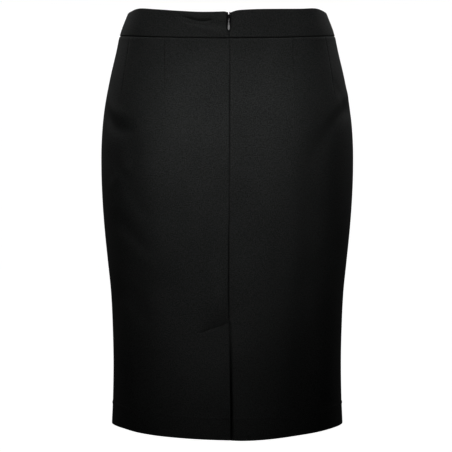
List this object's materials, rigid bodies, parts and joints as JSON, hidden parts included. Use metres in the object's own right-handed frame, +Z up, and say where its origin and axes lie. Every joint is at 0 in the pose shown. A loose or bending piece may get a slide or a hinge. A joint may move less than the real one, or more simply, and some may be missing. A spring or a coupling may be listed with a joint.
{
  "type": "pencil skirt",
  "caption": "Knee-length black pencil skirt with a shaped waistband, darts, concealed centre-back zip and back vent, filled out as worn.",
  "frame": {"origin": "middle of the waist opening, level with the waistband's top edge at the centre back", "axes": "+Z up; the back, with its zip and vent, faces -Y and the front +Y; +X is the wearer's right"},
  "size_m": [0.367, 0.2667, 0.6088],
  "materials": {
    "suiting": "black plain-woven suiting, dull with a faint sheen",
    "zip_tape": "black woven tape",
    "slider_metal": "black enamel",
    "tab_metal": "grey metal, softly polished"
  },
  "bodies": {
    "skirt": {"front_panel": "suiting", "back_left_panel": "suiting", "back_right_panel": "suiting", "waistband_front": "suiting", "waistband_back_left": "suiting", "waistband_back_right": "suiting", "zip_tape_left": "zip_tape", "zip_tape_right": "zip_tape", "zip_slider": "slider_metal"},
    "pull_tab": {"zip_pull_tab": "tab_metal"}
  },
  "joints": [
    {"name": "pull_tab_swing", "type": "hinge", "parent": "skirt", "child": "pull_tab", "pos_m": [0.00209, -0.10136, -0.01007], "axis": [-1, 0, 0], "range_deg": [0, 170]}
  ]
}
